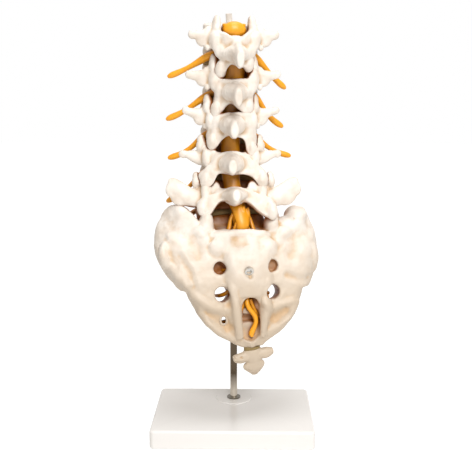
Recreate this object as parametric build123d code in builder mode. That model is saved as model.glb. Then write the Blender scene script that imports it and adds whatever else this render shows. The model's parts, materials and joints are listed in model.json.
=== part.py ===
"""Teaching model of the lumbar spine: L1 to L5, sacrum and coccyx with discs, dural sac and nerves.

The model stands on a chromed rod in a moulded base block. Millimetres, +Z up, -Y is the back of the
body, +X its right-hand side. The origin is the middle of the base block's underside.
"""
import os
from dataclasses import dataclass
from math import cos, pi, radians, sin, tan

from build123d import *

os.makedirs("parts", exist_ok=True)

# Stand
base_width = 130.0
base_depth = 92.0
base_height = 15.0
base_corner_radius = 4.0
base_edge_radius = 2.2
base_foot_radius = 1.0
boss_diameter = 31.0
boss_height = 0.6
nut_recess_diameter = 22.0
nut_recess_depth = 7.0
rod_diameter = 6.0
rod_top = 163.0
rod_chamfer = 0.4
thread_proud = 0.5
collar_diameter = 11.5
collar_thickness = 0.8
rod_y = 24.0
rod_thread_diameter = 5.0
rod_clearance = 0.15
nut_across_flats = 8.0
nut_height = 4.0
washer_diameter = 18.0
washer_thickness = 1.2

# Sacrum, set out from the middle of its upper end plate
plate_height = 172.5
plate_x = 0.7
plate_y = 21.5
sacrum_yaw = 14.0
sacrum_tilt = -30.0
plate_width = 50.0
plate_depth = 32.0
wing_half_width = 67.0
wing_top = 14.5
groove_depth = 1.5
sacrum_length = 95.5
canal_width = 22.0
canal_depth = 15.0
hiatus_width = 14.4
hiatus_x = 1.6
hiatus_top = -55.0
hiatus_foot = -90.0
hiatus_floor = -46.5
hiatus_dip = 0.5
horn_drop = 5.0
channel_diameter = 6.5
apex_x = 3.6
apex_y = -46.0
screw_y = -49.0
screw_z = -33.0
screw_length = 52.5
socket_across_flats = 4.0
socket_depth = 1.6
screw_diameter = 3.2
screw_head_diameter = 7.0
screw_head_height = 2.4
screw_rise = 25.0
core_rod_diameter = 5.2
core_rod_proud = 8.0
core_rod_seat = 8.0
core_rod_sway = -1.7

# Coccyx
coccyx_disc = 2.4
coccyx_length = 23.0
coccyx_roll = -9.0

# Soft parts
sac_width = 18.5
sac_depth = 11.0
sac_top = 14.0
sac_taper = 0.25
cord_diameter = 4.0
cord_lift = 0.5
nerve_diameter = 3.8
ganglion_diameter = 6.4
sacral_nerve_diameter = 3.2
running_gap = 0.3

# Shared proportions of the bones
waist_share = 0.88
rim_height = 4.0
plate_share = 0.97
disc_bulge = 1.02
plate_clear = 1.08
lamina_thickness = 6.0
outline_points = 16


@dataclass
class Lumbar:
    """Sizes of one vertebra and how it sits on the disc below it."""

    name: str
    disc: float
    tilt: float
    yaw: float
    sway: float
    body: tuple
    horn_tip: tuple
    spine_tip: tuple
    spine_size: tuple
    wing: tuple
    arch: tuple

    @property
    def lowest(self):
        """Height of the lowest point of the arch."""
        return min(z for _, z in self.arch)

    @property
    def highest(self):
        """Height of the highest point of the arch."""
        return max(z for _, z in self.arch)

    @property
    def widest(self):
        """Largest distance of the arch from the midline."""
        return max(abs(x) for x, _ in self.arch)


# Listed from the sacrum upwards, each in its own frame. A wing's stations are distance from the midline,
# height, tallness and thickness. An arch is its outline seen from behind, clockwise from the top.
levels = [
    Lumbar(
        name="l5", disc=6.4, tilt=-17.0, yaw=5.0, sway=-1.5,
        body=(50.0, 33.0, 24.0), horn_tip=(29.5, 17.0), spine_tip=(24.0, -9.5), spine_size=(7.5, 11.5),
        wing=((32.0, -4.5, 15.0, 9.0), (43.5, 1.5, 17.5, 8.0), (52.5, 8.0, 8.0, 4.5)),
        arch=(
            (1.2, 2.2), (9.0, 0.8), (17.2, -2.2), (26.0, -5.0), (34.0, -11.4), (34.0, -18.0),
            (29.4, -22.3), (24.0, -20.5), (17.1, -15.6), (12.0, -11.0), (7.1, -9.3), (-1.0, -10.0),
            (-9.2, -8.6), (-15.4, -13.5), (-20.2, -19.7), (-26.0, -17.0), (-30.0, -11.0), (-26.5, -6.0),
            (-15.4, -2.7), (-7.0, 1.0),
        ),
    ),
    Lumbar(
        name="l4", disc=7.6, tilt=-6.0, yaw=4.5, sway=-2.0,
        body=(48.5, 33.0, 24.5), horn_tip=(23.5, 19.0), spine_tip=(26.0, -9.0), spine_size=(7.5, 13.5),
        wing=((24.5, 0.5, 12.0, 7.0), (32.5, 2.5, 8.0, 5.5), (40.5, 4.0, 3.6, 3.4)),
        arch=(
            (0.0, 5.2), (9.0, 3.5), (15.5, -1.0), (22.0, -5.9), (29.1, -12.3), (28.8, -19.0),
            (23.5, -23.8), (19.4, -18.4), (15.0, -14.5), (9.5, -13.2), (0.0, -14.0), (-9.9, -13.0),
            (-13.5, -19.2), (-17.5, -23.2), (-23.0, -19.5), (-26.2, -14.0), (-22.0, -9.0), (-16.5, -4.5),
            (-8.0, 3.5),
        ),
    ),
    Lumbar(
        name="l3", disc=7.8, tilt=1.0, yaw=6.0, sway=0.0,
        body=(47.0, 32.5, 24.5), horn_tip=(18.5, 21.3), spine_tip=(28.0, -6.5), spine_size=(8.0, 15.0),
        wing=((23.5, 4.6, 10.5, 6.2), (31.0, 6.5, 7.5, 5.4), (38.5, 8.8, 5.0, 3.6)),
        arch=(
            (-2.3, 7.2), (6.5, 7.6), (15.3, 6.0), (17.5, 0.0), (19.9, -8.0), (20.5, -18.0),
            (19.8, -26.5), (16.4, -29.6), (12.6, -26.5), (11.0, -20.4), (8.8, -14.0), (3.0, -12.4),
            (-2.5, -11.2), (-10.0, -17.2), (-14.8, -21.6), (-19.0, -17.5), (-19.8, -10.0), (-15.8, -0.6),
            (-9.5, 4.6),
        ),
    ),
    Lumbar(
        name="l2", disc=7.8, tilt=6.0, yaw=8.0, sway=1.0,
        body=(46.0, 32.0, 24.5), horn_tip=(15.3, 21.5), spine_tip=(28.0, -11.5), spine_size=(7.5, 16.5),
        wing=((23.5, 4.2, 10.5, 6.2), (31.0, 5.0, 7.5, 5.4), (37.3, 6.3, 5.5, 3.6)),
        arch=(
            (-17.0, 2.4), (-10.0, 3.4), (-3.0, 3.1), (5.5, 3.5), (13.5, 1.6), (14.6, -5.0),
            (15.2, -13.0), (13.6, -19.4), (8.4, -23.4), (3.4, -20.8), (-3.5, -16.2), (-9.6, -22.0),
            (-14.2, -26.8), (-16.8, -22.0), (-15.8, -13.0), (-16.0, -6.0),
        ),
    ),
    Lumbar(
        name="l1", disc=7.4, tilt=10.0, yaw=9.5, sway=-0.5,
        body=(45.0, 31.5, 24.5), horn_tip=(13.4, 20.2), spine_tip=(28.0, -11.0), spine_size=(7.5, 16.5),
        wing=((22.5, 4.6, 10.5, 6.4), (29.0, 5.2, 7.5, 5.2), (35.0, 6.0, 5.0, 3.6)),
        arch=(
            (-12.0, 8.5), (-5.0, 6.5), (2.0, 4.0), (7.0, 7.0), (12.0, 9.5), (14.0, 2.0),
            (13.8, -7.0), (14.0, -14.0), (11.8, -19.2), (7.0, -17.6), (2.5, -17.8), (-2.8, -15.7),
            (-8.4, -22.4), (-12.1, -25.7), (-12.6, -19.0), (-11.6, -9.0), (-12.6, 0.0),
        ),
    ),
]

# Cross-sections of the sacrum: height, x of the middle, half widths in front and behind, y of the front and
# back corners, y of the middle of the front and of the back
wing_sections = [
    (wing_top, 0.0, 54.0, 45.0, 4.5, -12.0, 10.0, -22.0),
    (5.0, 0.0, 60.0, 49.0, 3.5, -17.0, 10.0, -27.5),
    (-3.0, 0.0, 64.0, 53.0, 2.0, -23.0, 10.0, -32.5),
    (-20.0, -0.5, wing_half_width, 55.0, -6.0, -33.0, 2.0, -41.0),
    (-36.0, 0.0, 63.0, 52.0, -16.0, -39.0, -9.0, -47.0),
    (-51.0, 2.0, 53.0, 47.0, -26.0, -42.0, -18.0, -50.0),
]
plate_sections = [
    (-30.0, 0.0, 50.0, 48.0, -16.0, -37.0, -6.0, -45.0),
    (-50.0, 0.5, 47.5, 45.5, -27.0, -42.0, -17.0, -50.5),
    (-65.0, 1.5, 42.0, 39.0, -34.0, -46.0, -26.0, -52.5),
    (-80.0, 1.5, 31.0, 29.0, -41.0, -49.0, -34.0, -53.0),
    (-90.0, 1.5, 17.0, 15.5, -43.0, -49.0, -38.5, -52.5),
    (-sacrum_length, apex_x, 9.0, 8.0, -43.5, -48.5, -40.5, -51.0),
]
# Upper edge of the sacrum seen from behind, from left to right
ala_line = (
    (-80.0, -14.0), (-67.0, -3.0), (-60.0, 7.0), (-49.0, 12.5), (-38.5, 7.0), (-30.0, -3.0),
    (-20.0, -4.2), (-4.0, -3.6), (14.0, -5.2), (26.0, -8.5), (36.0, -7.5), (46.7, 1.5),
    (58.0, 8.0), (66.0, 0.0), (80.0, -20.0),
)
# Holes of the sacrum: height, distance from the midline, y and size behind, y and size in front, y of the
# channel that joins both to the canal
holes = [
    (-17.0, 26.0, -36.0, 6.0, -12.0, 13.0, -28.0),
    (-32.5, 21.0, -42.0, 10.0, -22.0, 13.0, -36.0),
    (-52.3, 20.3, -46.0, 12.0, -32.0, 13.5, -41.0),
    (-72.3, 17.5, -49.0, 7.5, -41.0, 9.0, -45.0),
]
# Routes of the nerves beyond the vertebra's gap, in the vertebra's own frame: ganglion, bend and end
nerve_routes = {
    "l1": {"left": ((-17.0, -13.0, -10.5), (-31.0, -7.5, -19.5), (-51.0, -4.0, -29.5)),
           "right": ((17.0, -13.0, -11.0), (30.0, -10.0, -24.0), (45.5, -9.0, -38.0))},
    "l2": {"left": ((-19.0, -12.0, -11.0), (-31.5, -7.5, -20.0), (-53.0, -4.0, -32.0)),
           "right": ((19.0, -12.0, -12.5), (30.0, -9.0, -27.0), (43.5, -8.0, -38.0))},
    "l3": {"left": ((-21.0, -11.5, -12.5), (-38.0, -5.5, -26.5), (-51.0, -3.0, -31.5)),
           "right": ((21.0, -11.5, -13.5), (40.0, -7.0, -26.5), (51.5, -6.0, -30.0))},
    "l4": {"left": ((-22.0, -11.0, -12.5), (-42.0, -2.0, -29.5), (-52.5, 1.5, -35.5)),
           "right": ((22.0, -11.0, -12.5), (38.0, -3.0, -28.0), (46.0, 0.5, -34.0))},
    "l5": {"left": ((-23.0, -9.5, -10.5), (-34.0, 3.0, -13.5), (-42.0, 16.0, -21.0)),
           "right": ((23.0, -9.5, -10.5), (34.0, 4.0, -13.5), (41.0, 19.0, -21.0))},
}
# Routes of the sacral nerves of the right side and of the end cord, in the sacrum's frame
sacral_routes = {
    "s1": ((4.0, -19.5, 9.0), (8.5, -21.5, 1.0), (12.0, -25.5, -10.0), (17.0, -26.0, -17.0),
           (26.0, -18.0, -19.0), (28.0, -4.0, -26.0)),
    "s2": ((2.5, -21.5, 4.0), (5.0, -24.5, -3.0), (8.0, -31.0, -22.0), (12.0, -36.0, -33.0),
           (19.0, -31.0, -36.0), (23.0, -12.0, -44.0)),
    "s3": ((1.8, -24.6, -5.0), (3.9, -29.0, -14.0), (4.4, -36.0, -32.0), (8.5, -39.0, -45.0),
           (14.5, -39.0, -52.0), (21.0, -30.0, -57.0), (24.0, -20.0, -66.0)),
    "s4": ((2.0, -45.2, -57.0), (5.0, -45.0, -65.0), (10.5, -44.5, -72.0), (16.0, -41.5, -75.0),
           (19.0, -33.0, -80.0)),
}
cord_seat = hiatus_floor - cord_diameter / 2 - cord_lift
cord_route = (
    (0.0, -42.0, -46.0), (0.0, -45.0, -55.0), (1.5, cord_seat + 0.3, -65.0), (5.5, cord_seat, -71.0),
    (5.5, cord_seat, -77.0), (3.0, cord_seat, -87.0),
)


def posed(origin, tilt, yaw):
    """Plane at origin, turned by yaw about the vertical and leaning back by tilt."""
    back = Vector(sin(radians(yaw)), -cos(radians(yaw)), 0)
    across = Vector(cos(radians(yaw)), sin(radians(yaw)), 0)
    normal = back * sin(radians(tilt)) + Vector(0, 0, 1) * cos(radians(tilt))
    return Plane(origin=origin, x_dir=across, z_dir=normal)


def stack(plate, below_tilt, below_yaw, level):
    """Middle, lower and upper end plates of a vertebra that sits on the plate below it."""
    lean = posed(plate.origin, (below_tilt + level.tilt) / 2, (below_yaw + level.yaw) / 2)
    foot = plate.origin + lean.z_dir * level.disc + lean.x_dir * level.sway
    lower = posed(foot, level.tilt, level.yaw)
    height = level.body[2]
    return lower.offset(height / 2), lower, lower.offset(height)


def kidney(width, depth):
    """Outline of a vertebral body seen from above, hollowed behind."""
    hollow = 0.14 * depth
    points = []
    for step in range(outline_points):
        turn = 2 * pi * step / outline_points
        behind = max(0.0, -sin(turn))
        points.append((width / 2 * cos(turn), depth / 2 * sin(turn) + hollow * behind**3))
    return Spline(*points, periodic=True)


def limb(across, *stations):
    """Bony process lofted through ovals, each given as centre, direction, width and height."""
    with BuildPart() as process:
        for centre, direction, width, height in stations:
            with BuildSketch(Plane(origin=centre, x_dir=across, z_dir=direction)):
                Ellipse(width / 2, height / 2)
        loft()
    return process.part


def body_block(width, depth, height):
    """Drum of a vertebra with two flat end plates, rims and a narrower waist."""
    with BuildPart() as drum:
        for z, share in (
            (-height / 2, plate_share),
            (-height / 2 + rim_height / 2, 1.0),
            (0, waist_share),
            (height / 2 - rim_height / 2, 1.0),
            (height / 2, plate_share),
        ):
            with BuildSketch(Plane.XY.offset(z)):
                with BuildLine():
                    kidney(width * share, depth * share)
                make_face()
        loft()
    return drum.part


def canal_y(level):
    """Middle of the vertebral canal, behind the drum."""
    return -level.body[1] / 2 - canal_depth / 2 + 2.5


def widened(outline, amount):
    """Closed outline, its points clockwise, moved outwards all round."""
    moved = []
    for index, (x, z) in enumerate(outline):
        before_x, before_z = outline[index - 1]
        after_x, after_z = outline[(index + 1) % len(outline)]
        outwards = Vector(before_z - after_z, after_x - before_x).normalized() * amount
        moved.append((x + outwards.X, z + outwards.Y))
    return moved


def neural_arch(level, gap=0.0):
    """Laminae and lower joint processes: a shell round the canal, trimmed to the outline seen from behind.

    A gap widens it all round, to clear its seat in the vertebra below.
    """
    centre = canal_y(level)
    outer_depth = canal_depth / 2 + lamina_thickness + gap
    low = level.lowest - 3.0
    with BuildPart() as arch:
        with BuildSketch(Plane.XZ.offset(-centre - gap)):
            with BuildLine():
                Spline(*widened(level.arch, gap), periodic=True)
            make_face()
        extrude(amount=2 * outer_depth)
        with BuildSketch(Plane.XY.offset(low)):
            with Locations((0, centre)):
                Ellipse(level.widest + 1.5 + gap, outer_depth)
        extrude(amount=level.highest - low + 3.0, mode=Mode.INTERSECT)
    return arch.part


def spinous_process(level):
    """Blade in the midline that stands out behind, as tall at its root as the arch."""
    length, drop = level.spine_tip
    thickness, height = level.spine_size
    root = canal_y(level) - canal_depth / 2 - 1.0
    root_z = level.highest - height / 2 - 3.5
    return limb(
        (1, 0, 0),
        ((0, root, root_z), (0, -1, 0), thickness * 2.2, height * 1.1),
        ((0, root - length * 0.3, root_z * 0.5 + drop * 0.5), (0, -1, -0.3), thickness * 1.1, height),
        ((0, root - length * 0.75, drop + 0.5), (0, -1, -0.2), thickness, height),
        ((0, root - length, drop), (0, -1, 0), thickness * 0.8, height * 0.75),
    )


def side_processes(level, side):
    """Pedicle, upper joint process and transverse process of one side."""
    width, depth, height = level.body
    centre = canal_y(level)
    wall = canal_width / 2 + 4.5
    pedicle = limb(
        (1, 0, 0),
        ((side * width * 0.32, -depth / 2 + 7.0, 4.0), (0, -1, 0), 10.0, 14.0),
        ((side * wall, centre + 4.0, 4.0), (0, -1, 0), 8.5, 13.0),
        ((side * wall, centre - 4.0, 2.0), (0, -1, 0), 9.5, 15.0),
        ((side * (wall - 1.5), centre - 9.0, 0.0), (0, -1, 0), 7.0, 12.0),
    )
    horn_x, horn_z = level.horn_tip
    horn = limb(
        (1, 0, 0),
        ((side * wall, centre, -3.0), (0, 0, 1), 10.0, 11.0),
        ((side * (wall + horn_x) / 2, centre, horn_z * 0.4), (0, 0, 1), 9.0, 10.0),
        ((side * horn_x, centre + 1.0, horn_z * 0.8), (0, 0, 1), 7.0, 9.0),
        ((side * horn_x, centre + 1.5, horn_z), (0, 0, 1), 3.2, 5.0),
    )
    _, _, root_tall, root_thick = level.wing[0]
    root = (side * (wall - 1.0), centre + 1.0, 2.0)
    wing_stations = [(root, (side, 0, 0), root_thick * 1.5, root_tall * 1.15)]
    for x, z, tall, thick in level.wing:
        wing_stations.append(((side * x, centre + 0.5, z), (side, 0, 0.1), thick, tall))
    wing = limb((0, 1, 0), *wing_stations)
    return [pedicle, horn, wing]


def vertebra(level):
    """One moulded vertebra in its own frame, with its canal."""
    height = level.body[2]
    processes = [*side_processes(level, 1), *side_processes(level, -1)]
    with BuildPart() as bone:
        add(body_block(*level.body))
        add([neural_arch(level), spinous_process(level), *processes])
        with BuildSketch(Plane.XY.offset(-2 * height)):
            with Locations((0, canal_y(level))):
                Ellipse(canal_width / 2, canal_depth / 2)
        extrude(amount=4 * height, mode=Mode.SUBTRACT)
    return bone.part


def tube(*stations):
    """Round nerve lofted along a route, each station given as point and diameter."""
    points = [Vector(point) for point, _ in stations]
    with BuildPart() as nerve:
        for index, (_, diameter) in enumerate(stations):
            before = points[max(index - 1, 0)]
            after = points[min(index + 1, len(points) - 1)]
            with BuildSketch(Plane(origin=points[index], x_dir=(0, 1, 0), z_dir=after - before)):
                Circle(diameter / 2)
        loft()
    return nerve.part


def sacral_horn(side, gap=0.0):
    """Joint process of the sacrum in its own frame, the right one lower; a gap widens it all round."""
    lift = -side * horn_drop / 2
    stations = (
        ((side * 25.0, -16.0, -10.0), 15.0, 13.0),
        ((side * 28.5, -12.0, 2.0 + lift), 11.0, 10.5),
        ((side * 30.5, -10.5, 8.0 + lift), 8.5, 8.5),
        ((side * 31.0, -10.0, 11.0 + lift + gap), 4.5, 5.0),
    )
    return limb((1, 0, 0), *[(spot, (0, 0, 1), wide + 2 * gap, deep + 2 * gap) for spot, wide, deep in stations])


def keep(name, part):
    """Label a finished piece and write its file."""
    part.label = name
    export_step(part, f"parts/{name}.step")


# Base block with a boss round the rod and a recess for the nut underneath
top = base_height
with BuildPart() as base_plate:
    with BuildSketch():
        RectangleRounded(base_width, base_depth, base_corner_radius)
    extrude(amount=base_height)
    fillet(base_plate.edges().filter_by(Plane.XY).group_by(Axis.Z)[-1], base_edge_radius)
    fillet(base_plate.edges().filter_by(Plane.XY).group_by(Axis.Z)[0], base_foot_radius)
    with BuildSketch(Plane.XY.offset(top)):
        with Locations((0, rod_y)):
            Circle(boss_diameter / 2)
    extrude(amount=boss_height, taper=45)
    with Locations((0, rod_y, 0)):
        Cylinder(nut_recess_diameter / 2, nut_recess_depth, align=(Align.CENTER, Align.CENTER, Align.MIN),
                 mode=Mode.SUBTRACT)
    with Locations((0, rod_y, top)):
        Cylinder(rod_thread_diameter / 2 + rod_clearance, 3 * base_height, mode=Mode.SUBTRACT)
keep("base_plate", base_plate.part)

# Support rod: shouldered and threaded foot, blind end in the sacrum
shoulder = top + boss_height + collar_thickness
washer_top = nut_recess_depth
nut_top = washer_top - washer_thickness
with BuildPart() as support_rod:
    with Locations((0, rod_y, shoulder)):
        Cylinder(rod_diameter / 2, rod_top - shoulder, align=(Align.CENTER, Align.CENTER, Align.MIN))
    thread_foot = nut_top - nut_height - thread_proud
    with Locations((0, rod_y, thread_foot)):
        Cylinder(rod_thread_diameter / 2, shoulder - thread_foot,
                 align=(Align.CENTER, Align.CENTER, Align.MIN))
    chamfer(support_rod.edges().group_by(Axis.Z)[-1], rod_chamfer)
    chamfer(support_rod.edges().group_by(Axis.Z)[0], rod_chamfer)
keep("support_rod", support_rod.part)

with BuildPart() as rod_collar:
    with BuildSketch(Plane.XY.offset(top + boss_height)):
        with Locations((0, rod_y)):
            Circle(collar_diameter / 2)
            Circle(rod_thread_diameter / 2 + rod_clearance, mode=Mode.SUBTRACT)
    extrude(amount=collar_thickness)
keep("rod_collar", rod_collar.part)

with BuildPart() as rod_washer:
    with BuildSketch(Plane.XY.offset(washer_top)):
        with Locations((0, rod_y)):
            Circle(washer_diameter / 2)
            Circle(rod_thread_diameter / 2 + rod_clearance, mode=Mode.SUBTRACT)
    extrude(amount=-washer_thickness)
keep("rod_washer", rod_washer.part)

with BuildPart() as rod_nut:
    with BuildSketch(Plane.XY.offset(nut_top)):
        with Locations((0, rod_y)):
            RegularPolygon(nut_across_flats / 2, 6, major_radius=False)
            Circle(rod_thread_diameter / 2, mode=Mode.SUBTRACT)
    extrude(amount=-nut_height)
keep("rod_nut", rod_nut.part)

# How the bones are stacked: middle, lower and upper end plate of each vertebra
plate_centre = Vector(plate_x, plate_y, plate_height)
sacral = posed(plate_centre, 0, sacrum_yaw)
sacral_plate = posed(plate_centre, sacrum_tilt, sacrum_yaw)
places = []
below = sacral_plate
below_tilt = sacrum_tilt
below_yaw = sacrum_yaw
for level in levels:
    middle, lower, upper = stack(below, below_tilt, below_yaw, level)
    places.append((level, middle, lower, upper, below))
    below = upper
    below_tilt = level.tilt
    below_yaw = level.yaw


def in_frame(plane, *points):
    """The points of a bone's own frame, given in the frame of the whole model."""
    return [plane.from_local_coords(Vector(point)) for point in points]


# Core rod on a gently bent path through the middles of all the drums
rod_points = in_frame(sacral_plate, (0, 0, -core_rod_seat))
rod_points += [middle.origin for _, middle, _, _, _ in places]
rod_points += in_frame(places[-1][3], (core_rod_sway, 0, core_rod_proud))


def along_core(diameter):
    """Straight runs joined by tangent arcs, with a round section."""
    runs = [(b - a).length for a, b in zip(rod_points, rod_points[1:])]
    radii = []
    for index in range(1, len(rod_points) - 1):
        before, here, after = rod_points[index - 1:index + 2]
        turn = (here - before).get_angle(after - here)
        radii.append(0.45 * min(runs[index - 1], runs[index]) / tan(radians(turn / 2)))
    with BuildPart() as bar:
        with BuildLine() as path:
            FilletPolyline(*rod_points, radius=radii)
        with BuildSketch(Plane(origin=path.line @ 0, z_dir=path.line % 0)):
            Circle(diameter / 2)
        sweep()
    return bar.part


core_rod = along_core(core_rod_diameter)
core_bore = along_core(core_rod_diameter + 2 * rod_clearance)
keep("core_rod", core_rod)


def lumbar_nerve(level, middle, side_name, gap=0.0):
    """Thin root on the sac, thick ganglion in the gap between the bones, round nerve outside."""
    side = -1 if side_name == "left" else 1
    near, far, end = [Vector(point) for point in nerve_routes[level.name][side_name]]
    route = (
        (side * 2.0, canal_y(level) + 1.0, -2.0),
        (side * 11.0, canal_y(level) + 4.0, -7.0),
        near,
        far,
        end - (end - far).normalized() * 1.2,
        end,
    )
    sizes = (2.6, 3.2, ganglion_diameter, 5.0, nerve_diameter, nerve_diameter * 0.6)
    return tube(*zip(in_frame(middle, *route), [size + 2 * gap for size in sizes]))


def sacral_nerve(name, side, gap=0.0):
    """Even round strand from the sac through one of the sacrum's holes."""
    route = in_frame(sacral, *[(side * x, y, z) for x, y, z in sacral_routes[name]])
    return tube(*[(point, sacral_nerve_diameter + 2 * gap) for point in route])


def hiatus_cord(gap=0.0):
    """Cord that lies in the open lower end of the sacral canal."""
    return tube(*[(point, cord_diameter + 2 * gap) for point in in_frame(sacral, *cord_route)])


# Five vertebrae, from the top, each hollowed for the joint processes and nerves of the one above, and the
# lowest for the sacrum's too
neighbours = []
nerve_room = {}
for level, middle, lower, upper, below in reversed(places):
    nerve_room[level.name] = [lumbar_nerve(level, middle, side, running_gap) for side in ("left", "right")]
    if level is levels[0]:
        neighbours += [sacral.location * sacral_horn(side, running_gap) for side in (-1, 1)]
    with BuildPart() as bone:
        with Locations(middle):
            add(vertebra(level))
        add([core_bore, *nerve_room[level.name], *neighbours], mode=Mode.SUBTRACT)
    keep("vertebra_" + level.name, bone.part)
    neighbours = [middle.location * neural_arch(level, running_gap), *nerve_room[level.name]]

previous = "s1"
previous_body = (plate_width, plate_depth)
for level, middle, lower, upper, below in places:
    between = Plane(
        origin=(below.origin + lower.origin) / 2,
        x_dir=below.x_dir + lower.x_dir,
        z_dir=below.z_dir + lower.z_dir,
    )
    with BuildPart() as disc:
        for plane, body, share in (
            (below, previous_body, plate_share),
            (between, level.body, disc_bulge),
            (lower, level.body, plate_share),
        ):
            with BuildSketch(plane):
                with BuildLine():
                    kidney(body[0] * share, body[1] * share)
                make_face()
        loft()
        add([core_bore, *nerve_room[level.name]], mode=Mode.SUBTRACT)
    keep(f"disc_{level.name}_{previous}", disc.part)
    previous = level.name
    previous_body = level.body


def across_outline(middle, front, back, front_corner, back_corner, front_y, back_y):
    """Cross-section of the sacrum, wide in front and ridged behind."""
    half = [
        (0, front_y),
        (front * 0.5, front_y * 0.6 + front_corner * 0.4),
        (front, front_corner),
        (back, back_corner),
        (back * 0.5, back_y * 0.65 + back_corner * 0.35 + groove_depth),
    ]
    ring = [*half, (0, back_y), *[(-x, y) for x, y in reversed(half[1:])]]
    return Spline(*[(middle + x, y) for x, y in ring], periodic=True)


def foramina():
    """Paired holes from back to front, each pair joined across by a round channel through the canal."""
    cutters = []
    for z, x, back, back_size, front, front_size, channel in holes:
        for side in (-1, 1):
            cutters.append(limb(
                (1, 0, 0),
                ((side * x, back - 14.0, z), (0, 1, 0), back_size, back_size),
                ((side * x, back, z), (0, 1, 0), back_size, back_size),
                ((side * x, front, z - 2.0), (0, 1, -0.1), front_size, front_size),
                ((side * x, front + 18.0, z - 6.0), (0, 1, -0.2), front_size * 1.4, front_size * 1.2),
            ))
        with BuildPart() as across:
            with Locations(Location((0, channel, z), (0, 90, 0))):
                Cylinder(channel_diameter / 2, 2 * x)
        cutters.append(across.part)
    return cutters


def sacral_bone():
    """Sacrum in its own upright frame, set out from the middle of its upper end plate."""
    with BuildPart() as plate:
        for z, *sizes in plate_sections:
            with BuildSketch(Plane.XY.offset(z)):
                with BuildLine():
                    across_outline(*sizes)
                make_face()
        loft()
    with BuildPart() as wings:
        for z, *sizes in wing_sections:
            with BuildSketch(Plane.XY.offset(z)):
                with BuildLine():
                    across_outline(*sizes)
                make_face()
        loft()
        with BuildSketch(Plane.XZ):
            with BuildLine():
                upper = Spline(*ala_line)
                over = wing_top + 20.0
                Polyline(upper @ 1, (ala_line[-1][0], over), (ala_line[0][0], over), upper @ 0)
            make_face()
        extrude(amount=wing_half_width, both=True, mode=Mode.SUBTRACT)
    with BuildPart() as drum:
        tilted = posed((0, 0, 0), sacrum_tilt, 0)
        for depth, share in ((0, plate_share), (2.0, 1.0), (14.0, 0.9), (24.0, 0.72)):
            with BuildSketch(tilted.offset(-depth)):
                with BuildLine():
                    kidney(plate_width * share, plate_depth * share)
                make_face()
        loft()
    crest = limb(
        (1, 0, 0),
        ((0, -32.0, -9.0), (0, 0, -1), 32.0, 8.0),
        ((0, -40.5, -24.0), (0, 0, -1), 36.0, 13.0),
        ((0.5, -46.0, -41.0), (0, 0, -1), 29.0, 13.0),
        ((1.0, -49.5, -54.0), (0, 0, -1), 19.0, 8.0),
    )
    sides = []
    for side in (-1, 1):
        sides.append(limb(
            (1, 0, 0),
            ((hiatus_x + side * 16.5, -36.0, -20.0), (0, 0, -1), 7.0, 6.0),
            ((hiatus_x + side * 15.0, -42.5, -35.0), (0, 0, -1), 9.0, 9.0),
            ((hiatus_x + side * 13.5, -48.0, -52.0), (0, 0, -1), 8.5, 8.5),
            ((hiatus_x + side * 11.0, -50.5, -70.0), (0, 0, -1), 7.5, 8.0),
            ((hiatus_x + side * 8.5, -49.8, -87.0), (0, 0, -1), 6.0, 5.5),
        ))
        sides.append(sacral_horn(side))
    canal = limb(
        (1, 0, 0),
        ((0, -19.5, 12.0), (0, -0.3, -1), 24.0, 14.0),
        ((0, -23.5, -2.0), (0, -0.3, -1), 23.0, 13.0),
        ((0, -31.0, -20.0), (0, -0.4, -1), 20.0, 11.0),
        ((0, -38.0, -36.0), (0, -0.4, -1), 17.0, 10.0),
        ((hiatus_x / 2, -43.5, -50.0), (0, -0.3, -1), 14.0, 9.0),
        ((hiatus_x, hiatus_floor - 3.5 + hiatus_dip, -66.0), (0, -0.2, -1), 12.5, 7.0),
    )
    with BuildPart() as bone:
        add(plate.part)
        add([wings.part, drum.part, crest, *sides])
        with BuildSketch(tilted):
            with BuildLine():
                kidney(plate_width * plate_clear, plate_depth * plate_clear)
            make_face()
        extrude(amount=plate_depth, mode=Mode.SUBTRACT)
        add(canal, mode=Mode.SUBTRACT)
        with BuildSketch(Plane.XZ.offset(-hiatus_floor)):
            with Locations((hiatus_x, (hiatus_top + hiatus_foot) / 2)):
                SlotOverall(hiatus_top - hiatus_foot, hiatus_width, rotation=90)
        extrude(amount=20.0, mode=Mode.SUBTRACT)
        add(foramina(), mode=Mode.SUBTRACT)
    return bone.part


def screw_body(gap):
    """Cap screw along its own axis, head at the bottom; gap widens it into its hole."""
    with BuildPart() as screw:
        Cylinder(screw_diameter / 2 + gap, screw_length,
                 align=(Align.CENTER, Align.CENTER, Align.MIN))
        Cylinder(screw_head_diameter / 2 + gap, screw_head_height,
                 align=(Align.CENTER, Align.CENTER, Align.MAX))
    return screw.part


screw_place = Plane(
    origin=sacral.from_local_coords(Vector(0, screw_y, screw_z)),
    x_dir=sacral.x_dir,
    z_dir=sacral.y_dir * cos(radians(screw_rise)) + Vector(0, 0, 1) * sin(radians(screw_rise)),
)
with BuildPart() as sacrum_screw:
    with Locations(screw_place):
        add(screw_body(0))
    with BuildSketch(screw_place.offset(-screw_head_height)):
        RegularPolygon(socket_across_flats / 2, 6, major_radius=False)
    extrude(amount=socket_depth, mode=Mode.SUBTRACT)
keep("sacrum_screw", sacrum_screw.part)

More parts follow.
